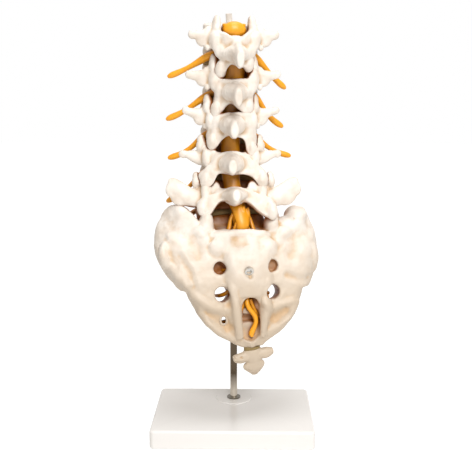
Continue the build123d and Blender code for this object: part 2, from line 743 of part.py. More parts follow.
with BuildPart() as sacrum:
    with Locations(sacral):
        add(sacral_bone())
    cutters = [core_bore, hiatus_cord(running_gap)]
    cutters += [sacral_nerve(name, side, running_gap) for name in sacral_routes for side in (-1, 1)]
    add([*cutters, *nerve_room[places[0][0].name]], mode=Mode.SUBTRACT)
    with Locations((0, rod_y, shoulder)):
        Cylinder(rod_diameter / 2 + rod_clearance, rod_top - shoulder + rod_clearance,
                 align=(Align.CENTER, Align.CENTER, Align.MIN), mode=Mode.SUBTRACT)
    with Locations(screw_place):
        add(screw_body(rod_clearance), mode=Mode.SUBTRACT)
    with BuildSketch(screw_place):
        Circle(screw_head_diameter / 2 + rod_clearance)
    extrude(amount=-12.0, mode=Mode.SUBTRACT)
keep("sacrum", sacrum.part)

# Coccyx under its thin disc, turned a little to one side
apex = sacral.offset(-sacrum_length)
apex_middle = apex.from_local_coords(Vector(apex_x, apex_y, 0))
coccyx_frame = Plane(origin=apex_middle - Vector(0, 0, coccyx_disc), x_dir=apex.x_dir, z_dir=apex.z_dir)
coccyx_frame = coccyx_frame.rotated((0, coccyx_roll, 0))
with BuildPart() as coccyx:
    add(limb((1, 0, 0), ((0, 0, 0), (0, 0, -1), 14.0, 8.5), ((0, 0.3, -6.0), (0, 0.1, -1), 17.0, 8.5),
             ((0, 1.2, -11.0), (0, 0.2, -1), 11.0, 6.5)))
    lobes = []
    for side in (-1, 1):
        lobes.append(limb((0, 1, 0), ((side * 4.0, -0.5, -4.6), (side, 0, 0), 6.5, 7.5),
                          ((side * 12.0, -0.8, -5.2), (side, 0, 0), 6.5, 8.5),
                          ((side * 16.5, -0.8, -4.6), (side, 0, 0), 4.0, 5.0)))
    lobes.append(limb((1, 0, 0), ((0, 1.0, -10.0), (0, 0.1, -1), 10.0, 6.0),
                      ((0, 2.0, -14.0), (0, 0.3, -1), 18.0, 7.0), ((0, 4.2, -19.0), (0, 0.4, -1), 12.0, 6.0),
                      ((0, 6.8, -coccyx_length), (0, 0.4, -1), 5.0, 3.5)))
    add(lobes)
with BuildPart() as placed_coccyx:
    with Locations(coccyx_frame):
        add(coccyx.part)
keep("coccyx", placed_coccyx.part)

with BuildPart() as sacrococcygeal_disc:
    with BuildSketch(Plane(origin=apex_middle, x_dir=apex.x_dir, z_dir=apex.z_dir)):
        Ellipse(6.6, 3.8)
    with BuildSketch(coccyx_frame):
        Ellipse(6.6, 4.0)
    loft()
keep("sacrococcygeal_disc", sacrococcygeal_disc.part)

# Dural sac down the canals, touching the backs of the drums
sac_stations = []
for level, middle, _, _, _ in reversed(places):
    share = (level.body[0] - 45.0) / 5.0
    front = canal_y(level) + canal_depth / 2 - running_gap
    if not sac_stations:
        sac_stations.append((middle, (0, front - sac_depth / 2, sac_top), 1.0))
    sac_stations.append((middle, (0, front - sac_depth / 2, 0), 1.0 - sac_taper * share))
sac_stations.append((sacral, (0, -20.5, 8.0), 0.68))
sac_stations.append((sacral, (0, -25.0, -7.0), 0.5))
with BuildPart() as dural_sac:
    for plane, point, share in sac_stations:
        spot = plane.from_local_coords(Vector(point))
        with BuildSketch(Plane(origin=spot, x_dir=plane.x_dir, z_dir=plane.z_dir)):
            Ellipse(sac_width * share / 2, sac_depth * share / 2)
    loft()
keep("dural_sac", dural_sac.part)

# Spinal nerves of L1 to L5, then those of the sacrum and the end cord
for level, middle, _, _, _ in places:
    for side_name in ("left", "right"):
        with BuildPart() as nerve:
            add(lumbar_nerve(level, middle, side_name))
            add(dural_sac.part, mode=Mode.SUBTRACT)
        keep(f"nerve_{level.name}_{side_name}", nerve.part)

end_cord = hiatus_cord()
keep("end_cord", end_cord)
for name in sacral_routes:
    for side_name, side in (("left", -1), ("right", 1)):
        with BuildPart() as nerve:
            add(sacral_nerve(name, side))
            add([dural_sac.part, end_cord], mode=Mode.SUBTRACT)
        keep(f"nerve_{name}_{side_name}", nerve.part)
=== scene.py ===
"""Teaching model of the lumbar spine on its stand, seen from behind.

Metres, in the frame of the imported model: +Z up, -Y is the back of the body.
"""
import json
import math

import bpy
import numpy as np
from mathutils import Matrix, Vector
from mathutils.bvhtree import BVHTree
from mathutils.kdtree import KDTree

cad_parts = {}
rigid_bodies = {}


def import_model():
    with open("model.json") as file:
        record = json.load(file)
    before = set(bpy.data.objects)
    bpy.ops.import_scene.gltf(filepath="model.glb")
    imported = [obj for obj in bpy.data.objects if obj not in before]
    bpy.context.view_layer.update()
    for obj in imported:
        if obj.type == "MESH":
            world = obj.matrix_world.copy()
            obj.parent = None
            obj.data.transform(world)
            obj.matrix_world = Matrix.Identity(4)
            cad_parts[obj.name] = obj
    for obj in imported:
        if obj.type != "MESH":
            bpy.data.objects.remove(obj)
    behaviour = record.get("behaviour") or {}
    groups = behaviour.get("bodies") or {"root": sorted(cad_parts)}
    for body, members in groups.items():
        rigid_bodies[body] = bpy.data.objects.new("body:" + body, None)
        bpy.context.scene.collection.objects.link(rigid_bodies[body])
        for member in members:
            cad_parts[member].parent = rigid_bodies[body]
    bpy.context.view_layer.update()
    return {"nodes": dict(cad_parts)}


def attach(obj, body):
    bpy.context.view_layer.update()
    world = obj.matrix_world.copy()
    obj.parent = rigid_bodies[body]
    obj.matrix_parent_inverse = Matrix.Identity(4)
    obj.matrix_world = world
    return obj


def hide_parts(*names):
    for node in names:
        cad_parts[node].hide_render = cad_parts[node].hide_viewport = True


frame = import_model()
cad_nodes = frame["nodes"]
mm = 0.001


# Base block: injection-moulded white polystyrene with a shallow boss where the rod is bolted through.
# The mould leaves a satin gloss and a barely visible orange peel on every face.
def pick(piece):
    """Makes the piece the only selected object and the active one."""
    bpy.ops.object.select_all(action="DESELECT")
    piece.select_set(True)
    bpy.context.view_layer.objects.active = piece


def cast(node):
    """Piece with the shape of a CAD node, its triangles joined, that stands for the node."""
    piece = bpy.data.objects.new(node + "_finished", cad_nodes[node].data.copy())
    bpy.context.scene.collection.objects.link(piece)
    pick(piece)
    bpy.ops.mesh.customdata_custom_splitnormals_clear()
    bpy.ops.object.mode_set(mode="EDIT")
    bpy.ops.mesh.select_all(action="SELECT")
    bpy.ops.mesh.remove_doubles(threshold=0.002 * mm)
    bpy.ops.object.mode_set(mode="OBJECT")
    piece.data.materials.clear()
    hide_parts(node)
    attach(piece, "root")
    return piece


def rigid(node, material, crease=30):
    """Machined or moulded piece: the CAD node's shape, shaded smooth up to its edges."""
    piece = cast(node)
    bpy.ops.object.shade_smooth_by_angle(angle=math.radians(crease))
    piece.data.materials.append(material)
    return piece


def linear(colour):
    """Linear colour of an sRGB hex value."""
    channels = [int(colour[place:place + 2], 16) / 255 for place in (1, 3, 5)]
    curved = [c / 12.92 if c <= 0.04045 else ((c + 0.055) / 1.055) ** 2.4 for c in channels]
    return (*curved, 1.0)


def add_node(material, kind, values=None, links=None, **settings):
    """Adds one shader node with its settings, its socket values and the links into it."""
    tree = material.node_tree
    made = tree.nodes.new(kind)
    for name, value in settings.items():
        setattr(made, name, value)
    for socket, value in (values or {}).items():
        made.inputs[socket].default_value = value
    for socket, source in (links or {}).items():
        tree.links.new(source, made.inputs[socket])
    return made


def new_material(name, colour, roughness, metallic=0.0, **values):
    """Material named for its real stuff, with its shader and its Object coordinates."""
    material = bpy.data.materials.new(name)
    material.use_nodes = True
    shader = material.node_tree.nodes["Principled BSDF"]
    shader.inputs["Base Color"].default_value = linear(colour)
    shader.inputs["Roughness"].default_value = roughness
    shader.inputs["Metallic"].default_value = metallic
    for socket, value in values.items():
        shader.inputs[socket.replace("_", " ")].default_value = value
    place = add_node(material, "ShaderNodeTexCoord").outputs["Object"]
    return material, shader, place


# Moulded polystyrene: even off-white, satin, with an orange peel about 1.5 mm across
polystyrene, shader, place = new_material("moulded white polystyrene", "#ECEAE8", 0.24, IOR=1.59)
peel = add_node(polystyrene, "ShaderNodeTexNoise", {"Scale": 1 / (1.5 * mm), "Detail": 2.0},
                {"Vector": place})
bump = add_node(polystyrene, "ShaderNodeBump", {"Strength": 0.25, "Distance": 0.02 * mm},
                {"Height": peel.outputs["Fac"]})
polystyrene.node_tree.links.new(bump.outputs["Normal"], shader.inputs["Normal"])
rigid("base_plate", polystyrene)


# Stand: a chromed steel rod with a pressed collar at its foot, held from below by a washer and a nut.
# The rod is drawn and plated, so it is smooth along its length; its colour holds a painted reflection,
# bright at the foot and dark above it.
# Collar, washer and nut are zinc-plated.
reflection_bright_to = 22 * mm
reflection_dark_from = 38 * mm
chrome, shader, place = new_material("chromed steel", "#D8D0C3", 0.1, 1.0)
height = add_node(chrome, "ShaderNodeSeparateXYZ", {}, {"Vector": place}).outputs["Z"]
reflection_fade = add_node(chrome, "ShaderNodeMapRange", {"From Min": reflection_bright_to, "From Max": reflection_dark_from},
                 {"Value": height})
# Painted reflection: bright at the foot, where the rod would mirror the white base, dark above, where it
# would mirror a dark room
tone = add_node(chrome, "ShaderNodeMix", {"A": linear("#E0D8CB"), "B": linear("#5A4E40")},
                {"Factor": reflection_fade.outputs["Result"]}, data_type="RGBA")
chrome.node_tree.links.new(tone.outputs["Result"], shader.inputs["Base Color"])
along = add_node(chrome, "ShaderNodeMapping", {"Scale": (1.0, 1.0, 0.05)}, {"Vector": place})
draw = add_node(chrome, "ShaderNodeTexNoise", {"Scale": 1 / (0.6 * mm), "Detail": 2.0},
                {"Vector": along.outputs["Vector"]})
rough = add_node(chrome, "ShaderNodeMapRange", {"To Min": 0.06, "To Max": 0.14},
                 {"Value": draw.outputs["Fac"]})
chrome.node_tree.links.new(rough.outputs["Result"], shader.inputs["Roughness"])
rigid("support_rod", chrome)

zinc, shader, place = new_material("zinc-plated steel", "#6E675C", 0.35, 1.0)
spangle = add_node(zinc, "ShaderNodeTexNoise", {"Scale": 1 / (1.0 * mm), "Detail": 3.0}, {"Vector": place})
rough = add_node(zinc, "ShaderNodeMapRange", {"To Min": 0.28, "To Max": 0.45},
                 {"Value": spangle.outputs["Fac"]})
zinc.node_tree.links.new(rough.outputs["Result"], shader.inputs["Roughness"])
for node in ("rod_collar", "rod_washer", "rod_nut"):
    rigid(node, zinc)


# Core rod: a stiff plastic-coated rod that the drums and discs are threaded on, its pale end left standing
# out of the top of the first vertebra. The coat is matt and slightly mottled.
coating, shader, place = new_material("nylon-coated rod", "#DAD6D0", 0.4)
mottle = add_node(coating, "ShaderNodeTexNoise", {"Scale": 1 / (2.5 * mm), "Detail": 2.0}, {"Vector": place})
tone = add_node(coating, "ShaderNodeMix", {"A": linear("#D3CEC7"), "B": linear("#E9E6E1")},
                {"Factor": mottle.outputs["Fac"]}, data_type="RGBA")
coating.node_tree.links.new(tone.outputs["Result"], shader.inputs["Base Color"])
rigid("core_rod", coating)


# Lumbar vertebrae: each one moulded in flexible vinyl from a real bone, so no face is quite flat and all the
# junctions run into each other. The surface keeps the bone's pits, and its recesses are tan, partly from a
# real wash and partly as painted shade.
def seat(origin, lean, turn):
    """Place of a bone's own millimetres, from its origin and its lean back and turn in degrees."""
    lean, turn = math.radians(lean), math.radians(turn)
    across = Vector((math.cos(turn), math.sin(turn), 0))
    back = Vector((math.sin(turn), -math.cos(turn), 0))
    up = back * math.sin(lean) + Vector((0, 0, math.cos(lean)))
    place = Matrix((across, up.cross(across), up)).transposed().to_4x4()
    place.translation = Vector(origin) * mm
    return place @ Matrix.Scale(mm, 4)


def reshape(piece, kind, **settings):
    """Puts one modifier on the piece and applies it."""
    modifier = piece.modifiers.new(kind.title(), kind)
    for name, value in settings.items():
        setattr(modifier, name, value)
    pick(piece)
    bpy.ops.object.modifier_apply(modifier=modifier.name)


def clay(piece, place, lumps):
    """Presses balls of clay onto the piece, each given as its middle and half sizes."""
    balls = []
    for middle, halves in lumps:
        bpy.ops.mesh.primitive_uv_sphere_add(segments=20, ring_count=12, radius=1)
        ball = bpy.context.object
        ball.data.transform(place @ Matrix.Translation(middle) @ Matrix.Diagonal((*halves, 1)))
        balls.append(ball)
    pick(piece)
    for ball in balls:
        ball.select_set(True)
    bpy.ops.object.join()


def read_points(piece, place):
    """Points of the piece in a bone's own millimetres, and which way its skin faces there."""
    mesh = piece.data
    points = np.empty(3 * len(mesh.vertices))
    mesh.vertices.foreach_get("co", points)
    normals = np.empty_like(points)
    mesh.vertex_normals.foreach_get("vector", normals)
    into = np.array(place.inverted())
    return points.reshape(-1, 3) @ into[:3, :3].T + into[:3, 3], normals.reshape(-1, 3) @ into[:3, :3].T * mm


def write_points(piece, place, points):
    """Moves the piece's points to the places given in a bone's own millimetres."""
    out = np.array(place)
    piece.data.vertices.foreach_set("co", (points @ out[:3, :3].T + out[:3, 3]).ravel())
    piece.data.update()


def nearness(points, chain, reach):
    """1 on the chain of points, falling smoothly to 0 at the reach."""
    nearest = np.full(len(points), np.inf)
    for one, two in zip(chain, chain[1:] or chain):
        run = np.subtract(two, one)
        along = np.clip((points - one) @ run / max(run @ run, 1e-9), 0, 1)
        nearest = np.minimum(nearest, np.linalg.norm(points - one - along[:, None] * run, axis=1))
    return np.clip(1 - (nearest / reach) ** 2, 0, 1) ** 2


def knead(piece, place, pushes):
    """Pushes soft regions of the piece: a chain of points, the reach round it and the way it moves."""
    points, _ = read_points(piece, place)
    for chain, reach, way in pushes:
        points += nearness(points, chain, reach)[:, None] * way
    write_points(piece, place, points)


def model_back(piece, place, strokes):
    """Works the skin that faces backwards: chains of points across and up, half width and height."""
    points, facing = read_points(piece, place)
    behind = np.clip(-2 * facing[:, 1], 0, 1)
    rise = np.zeros(len(points))
    for chain, half_width, height in strokes:
        rise += height * nearness(points[:, (0, 2)], chain, half_width)
    write_points(piece, place, points + facing * (rise * behind)[:, None])


def relief(name, size, **settings):
    """Texture for a displacement, its lumps about as large as the size."""
    texture = bpy.data.textures.new(name, "CLOUDS")
    texture.noise_scale = size
    for setting, value in settings.items():
        setattr(texture, setting, value)
    return texture


wash_and_shade_passes = 90
wash_and_shade_depth = 1.6 * mm
swelling = relief("swelling", 9 * mm, noise_depth=1, noise_basis="ORIGINAL_PERLIN")
knobs = relief("knobs", 4 * mm, noise_depth=2, noise_basis="ORIGINAL_PERLIN")
grain = relief("grain", 1.8 * mm, noise_depth=1, noise_basis="ORIGINAL_PERLIN")


def edge_ends(mesh):
    """Both end points of every edge, and how many edges meet at each point."""
    ends = np.empty(2 * len(mesh.edges), dtype=np.int32)
    mesh.edges.foreach_get("vertices", ends)
    one, two = ends.reshape(-1, 2).T
    return one, two, np.maximum(np.bincount(ends, minlength=len(mesh.vertices)), 1)


def soften(values, one, two, meeting):
    """Brings each point's value nearer to the mean of its neighbours."""
    around = np.bincount(one, values[two], len(values)) + np.bincount(two, values[one], len(values))
    return 0.4 * values + 0.6 * around / meeting


def mark_wash_and_shade(piece, passes, depth):
    """Stores how deep each point lies below its surroundings, where the recesses turn tan: partly a real
    wash, partly painted shade.
    """
    points, facing = read_points(piece, Matrix.Identity(4))
    facing /= mm
    ends = edge_ends(piece.data)
    even = points.copy()
    below = np.zeros(len(points))
    for stage in range(passes):
        for axis in range(3):
            even[:, axis] = soften(even[:, axis], *ends)
        if stage in (passes // 6, passes - 1):
            below += ((even - points) * facing).sum(axis=1)
    stored = piece.data.attributes.new("wash_and_shade", "FLOAT", "POINT")
    stored.data.foreach_set("value", np.clip(0.5 + 0.5 * below / depth, 0, 1))


def moulded_bone(node, place, voxel, lumps=(), pushes=(), strokes=(), rough=1.0, softening=8):
    """Bone: the CAD node with clay on it, run together, pushed and stroked, and given bone's relief."""
    piece = cast(node)
    if lumps:
        clay(piece, place, lumps)
    reshape(piece, "REMESH", mode="VOXEL", voxel_size=voxel)
    reshape(piece, "SMOOTH", factor=0.5, iterations=softening)
    knead(piece, place, pushes)
    model_back(piece, place, strokes)
    for texture, height in ((swelling, 1.1), (knobs, 0.45), (grain, 0.28)):
        strength = rough * height * mm
        reshape(piece, "DISPLACE", texture=texture, texture_coords="LOCAL", strength=strength, mid_level=0.5)
    reshape(piece, "SMOOTH", factor=0.5, iterations=1)
    mark_wash_and_shade(piece, wash_and_shade_passes, wash_and_shade_depth)
    pick(piece)
    bpy.ops.object.shade_smooth()
    piece.data.materials.append(vinyl)
    return piece


# Painted vinyl: cream, slightly waxy, with grain about 1 mm across. Tan in the recesses is partly a real
# wash and partly painted shade, and brown deep inside is painted shade. The lower sacrum and the coccyx are
# darkened with painted shade, from the first height to the second.
low_shade_from = 172 * mm
low_shade_full = 112 * mm
vinyl, shader, place = new_material("cream painted vinyl", "#F3EAE0", 0.5, IOR=1.53)
wash_and_shade = add_node(vinyl, "ShaderNodeAttribute", attribute_name="wash_and_shade")
depth = add_node(vinyl, "ShaderNodeAttribute", attribute_name="depth")
blotch = add_node(vinyl, "ShaderNodeTexNoise", {"Scale": 1 / (11 * mm), "Detail": 3.0}, {"Vector": place})
speck = add_node(vinyl, "ShaderNodeTexNoise", {"Scale": 1 / (1.1 * mm), "Detail": 2.0}, {"Vector": place})
# Tan in the recesses: partly a real wash, partly painted shade
lower = add_node(vinyl, "ShaderNodeMapRange", {"From Min": 0.52, "From Max": 1.0},
                 {"Value": wash_and_shade.outputs["Fac"]})
patch = add_node(vinyl, "ShaderNodeMapRange", {"From Min": 0.35, "From Max": 0.7},
                 {"Value": blotch.outputs["Fac"]})
# Brown where the pieces round a point close off its view: painted shade
occluded_shade = add_node(vinyl, "ShaderNodeMapRange", {"From Min": 0.38, "From Max": 0.8},
                {"Value": depth.outputs["Fac"]}, interpolation_type="SMOOTHSTEP")
cream = add_node(vinyl, "ShaderNodeMix", {"A": linear("#F0E9E1"), "B": linear("#E0D3C5")},
                 {"Factor": patch.outputs["Result"]}, data_type="RGBA")
# Darker towards the bottom of the sacrum and the coccyx: painted shade
height = add_node(vinyl, "ShaderNodeSeparateXYZ", {}, {"Vector": place}).outputs["Z"]
low = add_node(vinyl, "ShaderNodeMapRange", {"From Min": low_shade_from, "From Max": low_shade_full},
               {"Value": height})
low_shaded = add_node(vinyl, "ShaderNodeMix", {"B": linear("#C9B8A3")},
                   {"Factor": low.outputs["Result"], "A": cream.outputs["Result"]}, data_type="RGBA")
tan = add_node(vinyl, "ShaderNodeMix", {"B": linear("#CDAF8B")},
               {"Factor": lower.outputs["Result"], "A": low_shaded.outputs["Result"]}, data_type="RGBA")
brown = add_node(vinyl, "ShaderNodeMix", {"B": linear("#96581A")},
                 {"Factor": occluded_shade.outputs["Result"], "A": tan.outputs["Result"]}, data_type="RGBA")
vinyl.node_tree.links.new(brown.outputs["Result"], shader.inputs["Base Color"])
bump = add_node(vinyl, "ShaderNodeBump", {"Strength": 0.5, "Distance": 0.12 * mm},
                {"Height": speck.outputs["Fac"]})
vinyl.node_tree.links.new(bump.outputs["Normal"], shader.inputs["Normal"])

# Each vertebra: where it sits, its lean and turn, the depth of its drum, the tips of its upper joint
# processes, the middle and half height of its laminae in the midline, the reach and height of its spine, the
# tip of its wing and the tips of its lower joint processes
canal_wall = 15.5
canal_to_drum = 5.0
canal_to_roof = 11.5
canal_to_spine = 4.5
for level, origin, lean, turn, drum_depth, horn, roof, spine, wing, feet in (
    ("l5", (-1.5, 27.3, 189.8), -17, 5.0, 33, (29.5, 17.0), (-4.0, 5.5), (24, -9.5), (52.5, 8.0),
     ((-25, -14), (30, -17))),
    ("l4", (-4.0, 33.4, 221.0), -6, 4.5, 33, (23.5, 19.0), (-4.4, 8.5), (26, -9.0), (40.5, 4.0),
     ((-20, -18), (25, -18))),
    ("l3", (-4.1, 34.8, 253.2), 1, 6.0, 32.5, (18.5, 21.3), (-2.4, 8.8), (28, -6.5), (38.5, 8.8),
     ((-15.5, -16), (16, -23))),
    ("l2", (-2.9, 33.0, 285.4), 6, 8.0, 32, (15.3, 21.5), (-6.5, 8.8), (28, -11.5), (37.3, 6.3),
     ((-14, -21), (11, -18))),
    ("l1", (-2.7, 28.5, 317.0), 10, 9.5, 31.5, (13.4, 20.2), (-7.2, 7.8), (28, -11.0), (35, 6.0),
     ((-11, -20), (10.5, -15))),
):
    middle = -drum_depth / 2 - canal_to_drum
    back = middle - canal_to_roof
    spine_end = middle - canal_to_spine - spine[0]
    # The spine, a roof that narrows from the laminae to its tip
    lumps = []
    for share in (0.0, 0.15, 0.3, 0.45, 0.6, 0.8, 1.0):
        half = 4.2 + 8.2 * (1 - share) ** 1.3
        tall = roof[1] + (6.0 - roof[1]) * share
        lumps.append(((0, back + (spine_end - back) * share, roof[0] + (spine[1] - roof[0]) * share),
                      (half, 4.0, tall)))
    # On each side: upper joint process and its neck, lamina, root and web of the wing, the knob below it,
    # the wing's tip and the lower joint process
    strokes = []
    for side, foot in zip((-1, 1), feet):
        lumps += [
            ((side * (horn[0] + 0.8), middle - 1.5, horn[1] * 0.5), (3.4, 4.4, 5.0)),
            ((side * (canal_wall + horn[0]) / 2, middle - 6.0, 0.0), (4.0, 4.0, 7.5)),
            ((side * 9.0, back + 3.5, roof[0] + 1.5), (7.5, 4.5, roof[1] - 1.0)),
            ((side * (canal_wall + 4.0), middle + 0.5, 5.5), (6.0, 3.4, 7.0)),
            ((side * (canal_wall + 8.0), middle + 0.5, 1.5), (6.5, 3.0, 5.5)),
            ((side * (canal_wall + 5.5), middle - 2.5, -4.0), (2.2, 2.4, 2.6)),
            ((side * (wing[0] - 2.5), middle + 0.5, wing[1] - 0.5), (3.5, 2.2, 3.6)),
            ((foot[0], middle - 8.0, foot[1]), (4.8, 4.2, 7.0)),
        ]
        strokes += [
            (((side * 8.0, roof[0] + 3), (foot[0] * 0.6, -9.0)), 4.5, -0.8),
            (((foot[0] * 0.95, -4.0), foot), 3.0, 0.6),
        ]
        # The fifth vertebra's wings are broad blades
        if level == "l5":
            lumps.append(((side * 41.0, middle + 0.5, -3.0), (10.0, 3.2, 8.0)))
            lumps.append(((side * 49.0, middle + 0.5, 3.0), (6.0, 2.6, 7.0)))
    lift = 4.0 if level in ("l1", "l2") else 1.0
    moulded_bone(
        "vertebra_" + level, seat(origin, lean, turn), 0.7 * mm, lumps,
        [(((0, spine_end, spine[1]), (0, spine_end + 8, spine[1])), 17.0, (0, 0, lift))], strokes,
    )


# Sacrum and coccyx: moulded like the vertebrae, with a coarser skin on the ear-shaped side faces.
# A screw through the back of the sacrum holds it to the end of the core.
sacral_place = seat((0.7, 21.5, 172.5), 0, 14)
moulded_bone(
    "sacrum", sacral_place, 0.85 * mm,
    lumps=[
        ((-18.0, -35.6, -18.0), (11.0, 5.0, 10.0)),
        ((17.0, -36.2, -20.0), (10.0, 5.0, 10.0)),
        ((48.0, -12.0, 3.0), (9.0, 9.0, 7.0)),
        ((38.0, -18.0, -4.0), (9.0, 8.0, 7.5)),
        ((27.0, -33.0, -18.0), (6.0, 3.0, 5.0)),
        ((-12.0, -31.0, -9.0), (15.0, 5.0, 5.0)),
        ((10.0, -31.0, -9.5), (13.0, 5.0, 5.0)),
        ((0.5, -41.5, -27.0), (13.0, 5.0, 13.0)),
        ((1.0, -45.0, -42.0), (12.0, 5.0, 13.0)),
        ((-61.0, -24.0, -24.0), (6.0, 9.0, 12.0)),
        ((-50.0, -33.0, -40.0), (7.0, 7.0, 7.5)),
        ((59.0, -25.0, -30.0), (6.0, 8.0, 14.0)),
        ((17.0, -46.0, -72.0), (6.5, 4.5, 6.0)),
        ((-28.0, -22.0, -1.0), (6.0, 9.0, 12.0)),
        ((25.0, -23.0, -3.0), (6.0, 9.0, 12.0)),
        ((-34.0, -24.0, -8.0), (9.0, 8.0, 7.0)),
        ((32.0, -25.0, -10.0), (9.0, 8.0, 7.0)),
        ((-27.0, -21.0, -19.0), (7.0, 3.5, 6.0)),
        ((24.0, -25.0, -19.0), (7.0, 3.5, 6.0)),
        ((-21.5, -30.0, -34.0), (8.0, 3.5, 7.0)),
        ((20.0, -33.0, -34.0), (8.0, 3.5, 7.0)),
        ((-13.0, -48.5, -72.0), (5.5, 3.5, 16.0)),
        ((14.5, -48.5, -68.0), (5.5, 3.5, 13.0)),
    ],
    pushes=[
        (((-48.0, -6.0, 8.0), (-40.0, -6.0, 6.0)), 11.0, (0, 0, 2.0)),
        (((50.0, -6.0, 6.0), (56.0, -6.0, 3.0)), 11.0, (0, 0, 2.0)),
    ],
    strokes=[
        (((-12.3, -22.8), (-11.1, -36.1), (-12.7, -51.1), (-10.8, -69.8), (-8.4, -84.5)), 5.0, 1.1),
        (((-16.6, -54.1), (-17.0, -71.3)), 4.0, -0.8),
        (((17.1, -19.6), (16.9, -30.1), (13.3, -44.9), (8.8, -53.8)), 5.0, 0.9),
        (((1.2, -38.1),), 2.6, -1.8),
        (((-25.3, -5.8), (-14.2, -4.7), (0.0, -5.5), (16.6, -5.9)), 4.0, 1.0),
        (((-7.1, -11.5), (-0.9, -13.6)), 7.0, -2.2),
        (((-46.8, 8.6), (-35.3, 0.0), (-30.5, -10.8)), 7.0, 2.2),
        (((54.5, 4.9), (42.6, -1.0), (29.8, -10.6)), 7.0, 2.2),
        (((-58.0, 0.0), (-44.0, -10.0), (-38.0, -22.0)), 8.0, -2.2),
        (((58.0, -6.0), (44.0, -12.0), (38.0, -24.0)), 8.0, -2.0),
        (((-66.0, -18.3), (-62.0, -28.5), (-55.0, -36.3), (-47.2, -43.9)), 5.0, 1.8),
        (((-52.8, -22.3), (-46.0, -32.6), (-43.0, -44.8)), 5.0, -1.8),
        (((-62.0, -4.0), (-61.0, -16.7), (-54.2, -28.3)), 3.5, -1.0),
        (((-42.2, -52.5), (-30.5, -60.7), (-18.5, -63.8)), 5.0, 1.8),
        (((-33.6, -67.4), (-23.1, -72.2), (-17.0, -77.6)), 6.5, -2.6),
        (((-38.1, -67.7), (-26.1, -79.9), (-12.6, -87.7)), 4.0, 1.2),
        (((11.9, -58.7), (18.5, -64.6), (36.2, -60.4)), 4.5, 1.8),
        (((21.9, -73.5), (31.0, -68.5)), 6.0, -2.6),
        (((40.8, -62.2), (31.6, -73.9), (15.4, -84.0)), 4.0, 1.2),
        (((-9.0, -57.5), (-10.0, -70.0), (-8.5, -86.3)), 5.0, 0.7),
        (((12.0, -58.5), (13.0, -68.0), (10.8, -87.4)), 5.0, 0.7),
        (((33.0, -40.0), (44.0, -44.0), (52.0, -44.0)), 4.5, -1.5),
    ],
    rough=1.25,
    softening=16,
)
coccyx_place = seat((2.9, -22.5, 74.6), 0, 14)
moulded_bone(
    "coccyx", coccyx_place, 0.55 * mm,
    strokes=[
        (((-3.4, -5.0),), 1.5, -1.6),
        (((2.6, -5.4),), 1.5, -1.6),
        (((-5.0, -9.5), (4.5, -10.0)), 2.0, -1.0),
    ],
    softening=4,
)

steel, shader, place = new_material("polished stainless steel", "#C9C6C0", 0.2, 1.0)
turned = add_node(steel, "ShaderNodeTexNoise", {"Scale": 1 / (0.8 * mm), "Detail": 2.0}, {"Vector": place})
rough = add_node(steel, "ShaderNodeMapRange", {"To Min": 0.16, "To Max": 0.26},
                 {"Value": turned.outputs["Fac"]})
steel.node_tree.links.new(rough.outputs["Result"], shader.inputs["Roughness"])
rigid("sacrum_screw", steel)


# Discs: soft grey-tan foam rubber, cut to the outline of the drums and squeezed a little between them.
# The cut edge is matt and finely pored.
foam, shader, place = new_material("foam rubber", "#8F7B50", 0.75)
pores = add_node(foam, "ShaderNodeTexNoise", {"Scale": 1 / (0.9 * mm), "Detail": 3.0}, {"Vector": place})
tone = add_node(foam, "ShaderNodeMix", {"A": linear("#7F6A40"), "B": linear("#9A8558")},
                {"Factor": pores.outputs["Fac"]}, data_type="RGBA")
foam.node_tree.links.new(tone.outputs["Result"], shader.inputs["Base Color"])
bump = add_node(foam, "ShaderNodeBump", {"Strength": 0.4, "Distance": 0.1 * mm},
                {"Height": pores.outputs["Fac"]})
foam.node_tree.links.new(bump.outputs["Normal"], shader.inputs["Normal"])
for node in ("disc_l5_s1", "disc_l4_l5", "disc_l3_l4", "disc_l2_l3", "disc_l1_l2", "sacrococcygeal_disc"):
    rigid(node, foam, 50)


# Dural sac and nerves: soft orange vinyl, dipped and smooth, laid in the canal and led out between the
# bones. The skin is glossy enough to take a soft highlight.
soft, shader, place = new_material("soft orange vinyl", "#F0A010", 0.36, IOR=1.5)
depth = add_node(soft, "ShaderNodeAttribute", attribute_name="depth")
streak = add_node(soft, "ShaderNodeTexNoise", {"Scale": 1 / (6 * mm), "Detail": 2.0}, {"Vector": place})
occluded_shade = add_node(soft, "ShaderNodeMapRange", {"From Min": 0.45, "From Max": 1.1},
                {"Value": depth.outputs["Fac"]})
tone = add_node(soft, "ShaderNodeMix", {"A": linear("#EE9C10"), "B": linear("#F6AE26")},
                {"Factor": streak.outputs["Fac"]}, data_type="RGBA")
# The orange turns brown where the pieces round it close off the view: painted shade
shade = add_node(soft, "ShaderNodeMix", {"B": linear("#8A4A0C")},
                 {"Factor": occluded_shade.outputs["Result"], "A": tone.outputs["Result"]}, data_type="RGBA")
soft.node_tree.links.new(shade.outputs["Result"], shader.inputs["Base Color"])
strands = ["dural_sac", "end_cord"]
for side in ("left", "right"):
    strands += [f"nerve_{root}_{side}" for root in ("l1", "l2", "l3", "l4", "l5", "s1", "s2", "s3", "s4")]
for node in strands:
    piece = rigid(node, soft, 60)
    if node == "dural_sac":
        top_place = seat((-2.7, 28.5, 317.0), 10, 9.5)
        clay(piece, top_place, [((0, -20.7, 8.5), (9.6, 5.8, 7.5))])
        clay(piece, sacral_place, [
            ((-4.5, -20.0, 5.0), (1.7, 2.0, 9.0)),
            ((-1.2, -21.5, 4.0), (1.8, 2.0, 9.0)),
            ((2.6, -22.0, 4.0), (2.0, 2.0, 10.0)),
            ((6.4, -21.5, 4.0), (1.8, 2.0, 9.0)),
        ])
    reshape(piece, "REMESH", mode="VOXEL", voxel_size=0.6 * mm, use_smooth_shade=True)
    reshape(piece, "SMOOTH", factor=0.5, iterations=3)
    if node.startswith("nerve_l"):
        reshape(piece, "DISPLACE", strength=-0.25 * mm, mid_level=0.0)
